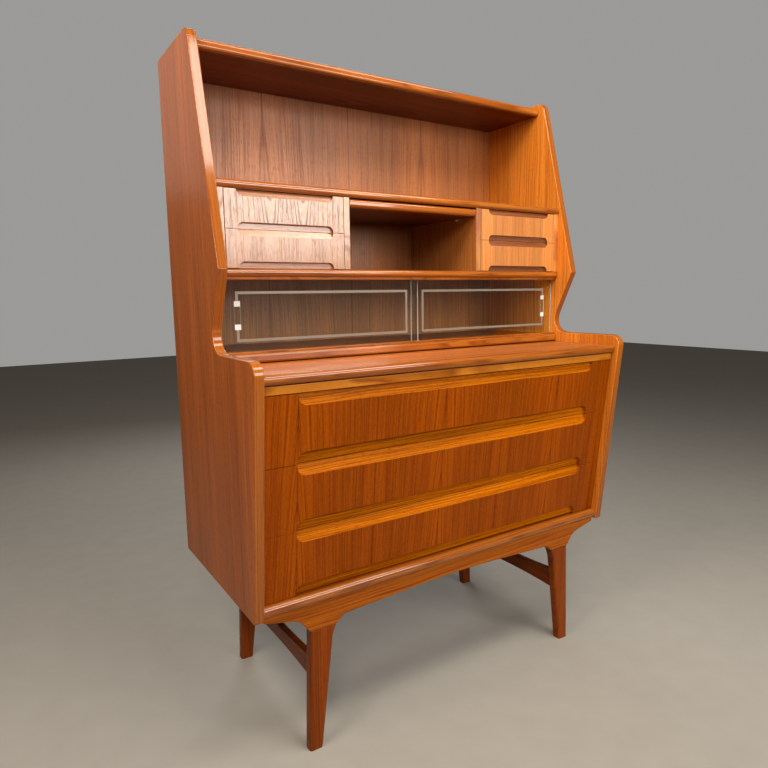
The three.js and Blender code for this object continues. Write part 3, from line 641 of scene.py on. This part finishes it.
for hand, sign in (("left", -1), ("right", 1)):
    node = f"glass_pane_{hand}"
    low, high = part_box(node)
    bm = bmesh.new()
    bmesh.ops.create_cube(bm, size=1.0, matrix=Matrix.LocRotScale((low + high) / 2, None, high - low))
    pane = new_object(f"{node}_etched", bm, clear_glass, etched_glass, ground_edge, ground_grip)
    front = low.y
    trough = ((front - 0.001, GRIP_LOW, 0), (front - 0.001, GRIP_HIGH, 0), (front, GRIP_HIGH, 0),
              (front + GRIP_DEPTH, GRIP_HIGH - GRIP_RAMP, 0.003),
              (front + GRIP_DEPTH, GRIP_LOW + GRIP_RAMP, 0.003), (front, GRIP_LOW, 0))
    x0 = sign * GRIP_CENTRE - GRIP_HALF_WIDTH
    grip = new_object("grip_cutter", outlined(
        trough, lambda a, b: (x0, a, b), (2 * GRIP_HALF_WIDTH, 0.0, 0.0)))
    cut_out(pane, [grip])
    bm = bmesh.new()
    bm.from_mesh(pane.data)
    # saw the sheet's skin along both sides of the etched line
    half = ETCHED_WIDTH / 2
    for edge in (ETCHED_FAR + half, ETCHED_FAR - half, ETCHED_NEAR + half, ETCHED_NEAR - half):
        bmesh.ops.bisect_plane(
            bm, geom=[*bm.verts, *bm.edges, *bm.faces], plane_co=(sign * edge, 0, 0), plane_no=(1, 0, 0))
    for edge in (ETCHED_LOW - half, ETCHED_LOW + half, ETCHED_HIGH - half, ETCHED_HIGH + half):
        bmesh.ops.bisect_plane(
            bm, geom=[*bm.verts, *bm.edges, *bm.faces], plane_co=(0, 0, edge), plane_no=(0, 0, 1))
    for face in bm.faces:
        spot = face.calc_center_median()
        far = abs(spot.x)
        within = ETCHED_NEAR - half < far < ETCHED_FAR + half and ETCHED_LOW - half < spot.z < ETCHED_HIGH + half
        inside = ETCHED_NEAR + half < far < ETCHED_FAR - half and ETCHED_LOW + half < spot.z < ETCHED_HIGH - half
        face.material_index = 0
        if abs(face.normal.y) < 0.5 and (far > abs(sign * GRIP_CENTRE) + 0.02 or not GRIP_LOW - 0.001 < spot.z < GRIP_HIGH + 0.001 or far < 0.4):
            face.material_index = 2
        elif front + 1e-5 < spot.y < front + GRIP_DEPTH - 1e-5:
            face.material_index = 3
        elif spot.y < front + 1e-5 and within and not inside:
            face.material_index = 1
    bm.to_mesh(pane.data)
    bm.free()
    pane.data.shade_flat()
    fit(pane, f"glass_door_{hand}", "door_glass", node)

track_teak = teak(
    "solid teak track", "yzx", LIPPING_TONES, shift=(0.7, 0.1), heart=(0.5, 0.05), band=0.003, contrast=0.7)

for node, floor_side in (("lower_glass_track", -1), ("upper_glass_track", 1)):
    low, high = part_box(node)
    back = high.y + TRACK_BACK
    base = low.z if floor_side < 0 else high.z
    lip = high.z if floor_side < 0 else low.z
    web = base - floor_side * 0.001
    profile = [(back - TRACK_BACK, base, 0), (back - TRACK_FRONT, base, 0), (back - TRACK_FRONT, lip, 0.001)]
    for groove_back, groove_front in GROOVES:
        profile += [
            (back - groove_front, lip, 0), (back - groove_front, web, 0), (back - groove_back, web, 0),
            (back - groove_back, lip, 0)]
    profile.append((back - TRACK_BACK, lip, 0))
    bm = outlined(profile, lambda a, b: (low.x, a, b), (high.x - low.x, 0.0, 0.0))
    piece = new_object(f"{node}_strip", bm, track_teak)
    ease(piece, 0.0004, segments=2)
    fit(piece, "case", "teak_solid", node)

# ---------------------------------------------------------------------------------------------
# Writing top: a veneered board with the grain running across the desk and a thick solid teak
# nose. It slides forward over the drawers on the board below it.
# ---------------------------------------------------------------------------------------------

writing_veneer = teak(
    "sliced teak veneer, writing top", "yzx", ("#9A4A14", "#B46024", "#C07030"), shift=(0.5, 0.3),
    heart=(0.66, 0.05), band=0.006, waver=0.008, roughness=0.34, shine=0.4, lacquer=0.3)
low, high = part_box("writing_top")
piece = new_object("writing_board", nosed_board(low, high, 0.0085), writing_veneer, nose_lipping)
ease(piece, 0.0006, segments=2)
fit(piece, "writing_top", "teak_veneer", "writing_top")

# ---------------------------------------------------------------------------------------------
# Wide drawers: 20 mm fronts veneered upright in book-matched leaves that run on down all three,
# with solid teak let into their long edges. A sloping scoop in each top edge and an undercut in
# each bottom edge meet as one long finger pull. The faces lean forward with the side panels.
# ---------------------------------------------------------------------------------------------

RAKE = 0.11
WIDE_SCOOP = dict(height=0.023, depth=0.010, half=0.408, end=0.0195)
WIDE_TONES = ("#722A00", "#883C00", "#984800")
SCOOP_TONES = ("#883C00", "#A65400", "#C06C06")

wide_veneer = teak(
    "book-matched teak veneer, wide drawers", "xyz", WIDE_TONES, leaf=0.1735, shift=(0.060, 0.0),
    heart=(-0.020, 0.030), climb=0.05, band=0.005, waver=0.008, roughness=0.36, shine=0.08, lacquer=0.0)
scoop_teak = teak(
    "solid teak finger pull", "zyx", SCOOP_TONES, shift=(0.0, 0.2), heart=(1.6, 0.06), climb=0.03, band=0.005,
    waver=0.010, contrast=1.4, roughness=0.42, shine=0.03, lacquer=0.0)
# The eased edges of the drawer fronts get a paler teak: a painted highlight along the edges.
edge_highlight_teak = teak(
    "teak edge, painted highlight", "zyx", ("#BC6C38", "#D68A56", "#E4A070"), heart=(0.9, 0.06), band=0.004, contrast=0.6,
    roughness=0.40)


def scooped_front(name, node, veneer, scooped, height, depth, half, end, rake=0.0):
    """A drawer front with a scoop in its top edge and an undercut in its bottom edge."""
    low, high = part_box(node)
    rise = high.z - low.z
    face_top = low.y
    thickness = high.y - low.y - rake * rise
    size = Vector((high.x - low.x, thickness, rise))
    centre = Vector(((low.x + high.x) / 2, face_top + thickness / 2, (low.z + high.z) / 2))
    bm = bmesh.new()
    bmesh.ops.create_cube(bm, size=1.0, matrix=Matrix.LocRotScale(centre, None, size))
    front = new_object(name, bm, veneer, scooped, edge_highlight_teak)
    spare = 0.003
    cutters = []
    for up, edge in ((1, high.z), (-1, low.z)):
        corners = [
            (centre.x - half, edge + up * spare, 0), (centre.x - half, edge - up * height, end),
            (centre.x + half, edge - up * height, end), (centre.x + half, edge + up * spare, 0)]
        start = face_top - 0.004
        bm = outlined(corners, lambda a, b: (a, start, b), (0.0, 0.004 + depth + 0.002 * (up > 0), 0.0))
        if up > 0:
            # the scoop's floor slopes from the face up and back to its full depth at the edge
            sliced = bmesh.ops.bisect_plane(
                bm, geom=[*bm.verts, *bm.edges, *bm.faces], plane_co=(0, face_top, edge - height),
                plane_no=(0, height, -depth), clear_outer=True)
            rim = [part for part in sliced["geom_cut"] if isinstance(part, bmesh.types.BMEdge)]
            bmesh.ops.edgeloop_fill(bm, edges=rim)
            bmesh.ops.recalc_face_normals(bm, faces=bm.faces)
        else:
            # a router bit leaves the undercut's inner corner round
            inner = [
                edge_here for edge_here in bm.edges
                if all(abs(vert.co.y - start - 0.004 - depth) < 1e-6 for vert in edge_here.verts)
                and max(vert.co.z for vert in edge_here.verts) > low.z - spare + 1e-5]
            bmesh.ops.bevel(
                bm, geom=inner, offset=0.003, offset_type="OFFSET", segments=4, profile=0.5, affect="EDGES",
                material=-1, clamp_overlap=True)
        cutters.append(new_object("scoop_cutter", bm))
    cut_out(front, cutters)
    bm = bmesh.new()
    bm.from_mesh(front.data)
    bmesh.ops.remove_doubles(bm, verts=bm.verts, dist=1e-6)
    for face in bm.faces:
        spot = face.calc_center_median()
        face.material_index = 0 if face.normal.y < -0.999 and abs(spot.y - face_top) < 1e-5 else 1
    lean = Matrix.Identity(4)
    lean[1][2], lean[1][3] = -rake, rake * high.z
    bmesh.ops.transform(bm, matrix=lean, verts=bm.verts)
    bm.to_mesh(front.data)
    bm.free()
    ease(front, 0.0010, segments=2, slot=2)
    return front


for level in ("bottom", "middle", "top"):
    body = f"{level}_drawer"
    front = scooped_front(f"{body}_scooped_front", f"{body}_front", wide_veneer, scoop_teak, rake=RAKE, **WIDE_SCOOP)
    fit(front, body, "teak_veneer", f"{body}_front")

# ---------------------------------------------------------------------------------------------
# Wide drawer boxes and runners: beech sides and backs with a 4 mm birch plywood bottom, waxed
# but not stained, dovetailed into the fronts, sliding on beech runners screwed to the sides.
# ---------------------------------------------------------------------------------------------

BEECH_TONES = ("#B88A58", "#CFA372", "#DDB78A")
PLY_TONES = ("#B98F60", "#CDA677", "#DABB90")

beech_long = teak(
    "planed beech, front to back", "zxy", BEECH_TONES, heart=(0.4, 0.05), band=0.008, contrast=0.45,
    roughness=0.5)
beech_wide = teak(
    "planed beech, side to side", "zyx", BEECH_TONES, heart=(0.4, 0.05), band=0.008, contrast=0.45,
    roughness=0.5)
birch_ply = teak(
    "birch plywood", "xzy", PLY_TONES, shift=(0.3, 0.1), heart=(0.2, 0.03), climb=0.08, band=0.016,
    contrast=0.5, roughness=0.55)


def finish_node(node, material):
    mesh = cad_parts[node].data
    mesh.materials.clear()
    mesh.materials.append(material)


for level in ("bottom", "middle", "top"):
    for hand in ("left", "right"):
        finish_node(f"{level}_drawer_side_{hand}", beech_long)
    finish_node(f"{level}_drawer_back", beech_wide)
    finish_node(f"{level}_drawer_bottom", birch_ply)
for hand in ("left", "right"):
    for level in ("upper", "middle"):
        finish_node(f"{level}_runner_{hand}", beech_long)

# ---------------------------------------------------------------------------------------------
# Small drawers: four of them, 15 mm fronts with the same scoops at a smaller size. The upper
# left front is cut where the veneer has two pointed figures; the others are plain.
# ---------------------------------------------------------------------------------------------

SMALL_SCOOP = dict(height=0.013, depth=0.007, half=0.107, end=0.0125)

figured = teak(
    "teak veneer with pointed figures", "xyz", ("#4E2410", *LEFT_TONES[1:]), leaf=0.13, shift=(0.3315, 0.0),
    heart=(0.0385, 0.0944), climb=-0.041, band=0.004, waver=0.010, contrast=0.7, roughness=0.25, shine=0.9, lacquer=0.2,
    dry=0.45)
plain_left = teak(
    "plain teak veneer, left small drawers", "xyz", LEFT_TONES, leaf=0.15, shift=(0.33, 0.4),
    heart=(0.48, 0.05), band=0.005, waver=0.006, roughness=0.25, shine=0.9, lacquer=0.25, dry=0.4)
plain_right = teak(
    "plain teak veneer, right small drawers", "xyz", RIGHT_TONES, leaf=0.16, shift=(-0.33, 0.8),
    heart=(0.45, 0.05), band=0.005, waver=0.006, roughness=0.25, shine=0.9, lacquer=0.25, dry=0.4)

# The left drawers' finger pulls get a paler, greyer teak than the right ones: painted sheen, standing in for the glare
# that lies over the left drawers.
small_scoop_teaks_left_sheen_painted = {
    hand: teak(
        f"solid teak finger pull, {hand} small drawers", "zyx", tones, shift=(0.3, 0.5), heart=(1.2, 0.06),
        band=0.004, waver=0.006, roughness=0.28, shine=shine, lacquer=lacquer)
    for hand, tones, shine, lacquer in (
        ("left", ("#84482A", "#9A5E38", "#A66E46"), 0.55, 0.55),
        ("right", ("#6C3010", "#82441C", "#905226"), 0.5, 1.0))}

for hand in ("left", "right"):
    for level in ("lower", "upper"):
        body = f"small_drawer_{level}_{hand}"
        veneer = plain_right if hand == "right" else figured if level == "upper" else plain_left
        front = scooped_front(f"{body}_scooped_front", f"{body}_front", veneer, small_scoop_teaks_left_sheen_painted[hand], **SMALL_SCOOP)
        fit(front, body, "teak_veneer", f"{body}_front")
        finish_node(f"{body}_frame", beech_long)
        finish_node(f"{body}_bottom", birch_ply)

# ---------------------------------------------------------------------------------------------
# Base: solid teak. Front and rear aprons with drooping ends and a shallow arch, each glued up
# from two strips, on four tapered legs; a stretcher with a hollowed edge joins each pair.
# ---------------------------------------------------------------------------------------------

BASE_TONES = ("#622400", "#783300", "#863E02")
APRON_TONES = ("#7C3200", "#9C4E04", "#AE5E0C")
LEG_TOP = 0.263
LEG_CORNERS = ((-0.380, LEG_TOP, 0), (-0.3895, 0.0, 0), (-0.359, 0.0, 0), (-0.328, 0.240, 0.05), (-0.319, LEG_TOP, 0))
APRON_CORNERS = (
    (0.4785, 0.3235, 0), (-0.4785, 0.3235, 0), (-0.4785, 0.311, 0.004), (-0.404, 0.2935, 0.028),
    (-0.380, LEG_TOP, 0), (-0.319, LEG_TOP, 0), (-0.303, 0.2785, 0.016), (0.0, 0.293, 2.6),
    (0.303, 0.2785, 0.016), (0.319, LEG_TOP, 0), (0.380, LEG_TOP, 0), (0.404, 0.2935, 0.028),
    (0.4785, 0.311, 0.004))
LEG_ROUND = 0.006

apron_teak = teak(
    "solid teak, aprons", "zyx", APRON_TONES, shift=(0.1, 0.3), heart=(0.85, 0.06), climb=0.02, band=0.008,
    contrast=0.9, roughness=0.34)
leg_teak = teak(
    "solid teak, legs", "xyz", BASE_TONES, shift=(0.2, 0.3), heart=(0.92, 0.06), climb=0.02, band=0.005, waver=0.006,
    contrast=0.9, roughness=0.33)
stretcher_teak = teak(
    "solid teak, stretchers", "zxy", BASE_TONES, shift=(0.5, 0.6), heart=(0.95, 0.06), band=0.006,
    contrast=0.9, roughness=0.36)

for end in ("front", "rear"):
    low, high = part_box(f"{end}_apron")
    bm = outlined(APRON_CORNERS, lambda a, b: (a, low.y, b), (0.0, high.y - low.y, 0.0))
    piece = new_object(f"{end}_apron_arched", bm, apron_teak)
    ease(piece, 0.0025, segments=4)
    fit(piece, "case", "teak_solid", f"{end}_apron")
    for hand, sign in (("left", 1), ("right", -1)):
        low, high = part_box(f"{end}_leg_{hand}")
        bm = outlined(LEG_CORNERS, lambda a, b: (sign * a, low.y, b), (0.0, high.y - low.y, 0.0))
        upright = [
            edge for edge in bm.edges
            if abs(edge.verts[0].co.z - edge.verts[1].co.z) > 1e-4 and edge.calc_face_angle(0.0) > 1.0]
        bmesh.ops.bevel(
            bm, geom=upright, offset=LEG_ROUND, offset_type="OFFSET", segments=6, profile=0.5, affect="EDGES",
            material=-1, clamp_overlap=True)
        bmesh.ops.recalc_face_normals(bm, faces=bm.faces)
        piece = new_object(f"{end}_leg_tapered_{hand}", bm, leg_teak)
        ease(piece, 0.0008, segments=2)
        fit(piece, "case", "teak_solid", f"{end}_leg_{hand}")

STRETCHER_CENTRE = 0.1665
STRETCHER_END = 0.0255
STRETCHER_WAIST = 0.006

for hand in ("left", "right"):
    low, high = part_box(f"stretcher_{hand}")
    middle = (low.y + high.y) / 2
    corners = (
        (low.y, STRETCHER_CENTRE - STRETCHER_END, 0), (low.y, STRETCHER_CENTRE + STRETCHER_END, 0),
        (middle, STRETCHER_CENTRE + STRETCHER_WAIST, 1.75), (high.y, STRETCHER_CENTRE + STRETCHER_END, 0),
        (high.y, STRETCHER_CENTRE - STRETCHER_END, 0), (middle, STRETCHER_CENTRE - STRETCHER_WAIST, 1.75))
    bm = outlined(corners, lambda a, b: (low.x, a, b), (high.x - low.x, 0.0, 0.0))
    piece = new_object(f"stretcher_hollowed_{hand}", bm, stretcher_teak)
    ease(piece, 0.002, segments=3)
    fit(piece, "case", "teak_solid", f"stretcher_{hand}")
